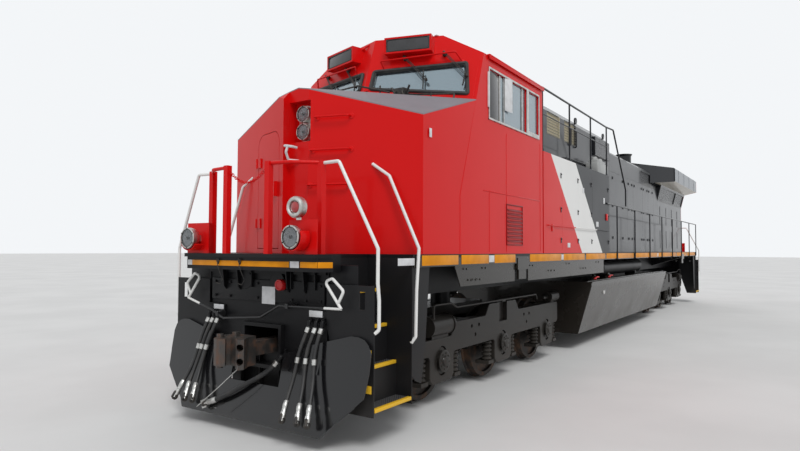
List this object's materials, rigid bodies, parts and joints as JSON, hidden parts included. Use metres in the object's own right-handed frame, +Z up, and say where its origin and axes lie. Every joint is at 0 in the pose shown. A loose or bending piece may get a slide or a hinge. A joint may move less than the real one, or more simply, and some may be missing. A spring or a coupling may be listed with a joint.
{
  "type": "diesel locomotive",
  "caption": "Wide-nose freight diesel locomotive with swivelling three-axle trucks, turning wheelsets and opening cab doors.",
  "frame": {"origin": "middle of the length and width, at the bottom of the wheel flanges", "axes": "+X towards the nose, +Y to the locomotive's left, +Z up"},
  "size_m": [22.3, 3.096, 4.8778],
  "materials": {
    "bare_metal": "satin bare metal",
    "black_paint": "gloss black enamel",
    "console": "grey textured",
    "coupler_iron": "cast steel with light rust",
    "frame_black": "satin black",
    "glass": "tinted laminated glass",
    "red_paint": "gloss red enamel",
    "rubber": "black hose rubber",
    "seat": "black vinyl",
    "truck_grey": "satin dark grey brown",
    "wheel_steel": "rolled steel, bright on the tread",
    "white_paint": "gloss white"
  },
  "bodies": {
    "carbody": {"air_reservoirs": "frame_black", "blower_hood": "black_paint", "cab_back": "red_paint", "cab_desk": "console", "cab_floor": "console", "cab_front": "red_paint", "cab_roof": "red_paint", "cab_seats": "seat", "cab_sides": "red_paint", "cab_windows": "glass", "centre_sill": "frame_black", "couplers": "coupler_iron", "cut_levers": "frame_black", "deck": "frame_black", "deck_rail": "black_paint", "end_railings": "red_paint", "engine_block": "frame_black", "engine_hood": "black_paint", "equipment_cabinet": "red_paint", "exhaust_stack": "black_paint", "front_brake_hose": "rubber", "front_mu_hose_1": "rubber", "front_mu_hose_2": "rubber", "front_mu_hose_3": "rubber", "front_mu_hose_4": "rubber", "front_mu_hose_5": "rubber", "front_mu_hose_6": "rubber", "front_pilot": "frame_black", "front_steps": "frame_black", "fuel_tank": "truck_grey", "hose_couplings": "bare_metal", "lamps": "bare_metal", "nose_shell": "red_paint", "number_boards": "red_paint", "radiator_hood": "black_paint", "rear_pilot": "frame_black", "rear_steps": "frame_black", "side_handrails": "black_paint", "side_sills": "truck_grey", "snow_plow": "black_paint", "step_handrails": "white_paint", "window_frames": "bare_metal"},
    "front_truck": {"front_axle_boxes": "truck_grey", "front_brake_gear": "truck_grey", "front_traction_motors": "truck_grey", "front_truck_frame": "truck_grey"},
    "front_wheelset_1": {"front_wheelset_1": "wheel_steel"},
    "front_wheelset_2": {"front_wheelset_2": "wheel_steel"},
    "front_wheelset_3": {"front_wheelset_3": "wheel_steel"},
    "rear_truck": {"rear_axle_boxes": "truck_grey", "rear_brake_gear": "truck_grey", "rear_traction_motors": "truck_grey", "rear_truck_frame": "truck_grey"},
    "rear_wheelset_1": {"rear_wheelset_1": "wheel_steel"},
    "rear_wheelset_2": {"rear_wheelset_2": "wheel_steel"},
    "rear_wheelset_3": {"rear_wheelset_3": "wheel_steel"},
    "nose_door": {"nose_door": "red_paint"},
    "cab_rear_door": {"cab_rear_door": "red_paint"}
  },
  "joints": [
    {"name": "front_truck_swivel", "type": "hinge", "parent": "carbody", "child": "front_truck", "pos_m": [6.73, 0, 1], "axis": [0, 0, 1], "range_deg": [-4, 4]},
    {"name": "front_wheelset_1_roll", "type": "hinge", "parent": "front_truck", "child": "front_wheelset_1", "pos_m": [8.58, 0, 0.561], "axis": [0, 1, 0], "continuous": true},
    {"name": "front_wheelset_2_roll", "type": "hinge", "parent": "front_truck", "child": "front_wheelset_2", "pos_m": [6.73, 0, 0.561], "axis": [0, 1, 0], "continuous": true},
    {"name": "front_wheelset_3_roll", "type": "hinge", "parent": "front_truck", "child": "front_wheelset_3", "pos_m": [4.88, 0, 0.561], "axis": [0, 1, 0], "continuous": true},
    {"name": "rear_truck_swivel", "type": "hinge", "parent": "carbody", "child": "rear_truck", "pos_m": [-6.73, 0, 1], "axis": [0, 0, 1], "range_deg": [-4, 4]},
    {"name": "rear_wheelset_1_roll", "type": "hinge", "parent": "rear_truck", "child": "rear_wheelset_1", "pos_m": [-8.58, 0, 0.561], "axis": [0, 1, 0], "continuous": true},
    {"name": "rear_wheelset_2_roll", "type": "hinge", "parent": "rear_truck", "child": "rear_wheelset_2", "pos_m": [-6.73, 0, 0.561], "axis": [0, 1, 0], "continuous": true},
    {"name": "rear_wheelset_3_roll", "type": "hinge", "parent": "rear_truck", "child": "rear_wheelset_3", "pos_m": [-4.88, 0, 0.561], "axis": [0, 1, 0], "continuous": true},
    {"name": "nose_door_swing", "type": "hinge", "parent": "carbody", "child": "nose_door", "pos_m": [9.93783, -0.82806, 2.6], "axis": [0, 0, -1], "range_deg": [0, 95]},
    {"name": "cab_rear_door_swing", "type": "hinge", "parent": "carbody", "child": "cab_rear_door", "pos_m": [6.094, -0.964, 3], "axis": [0, 0, -1], "range_deg": [0, 85]}
  ]
}
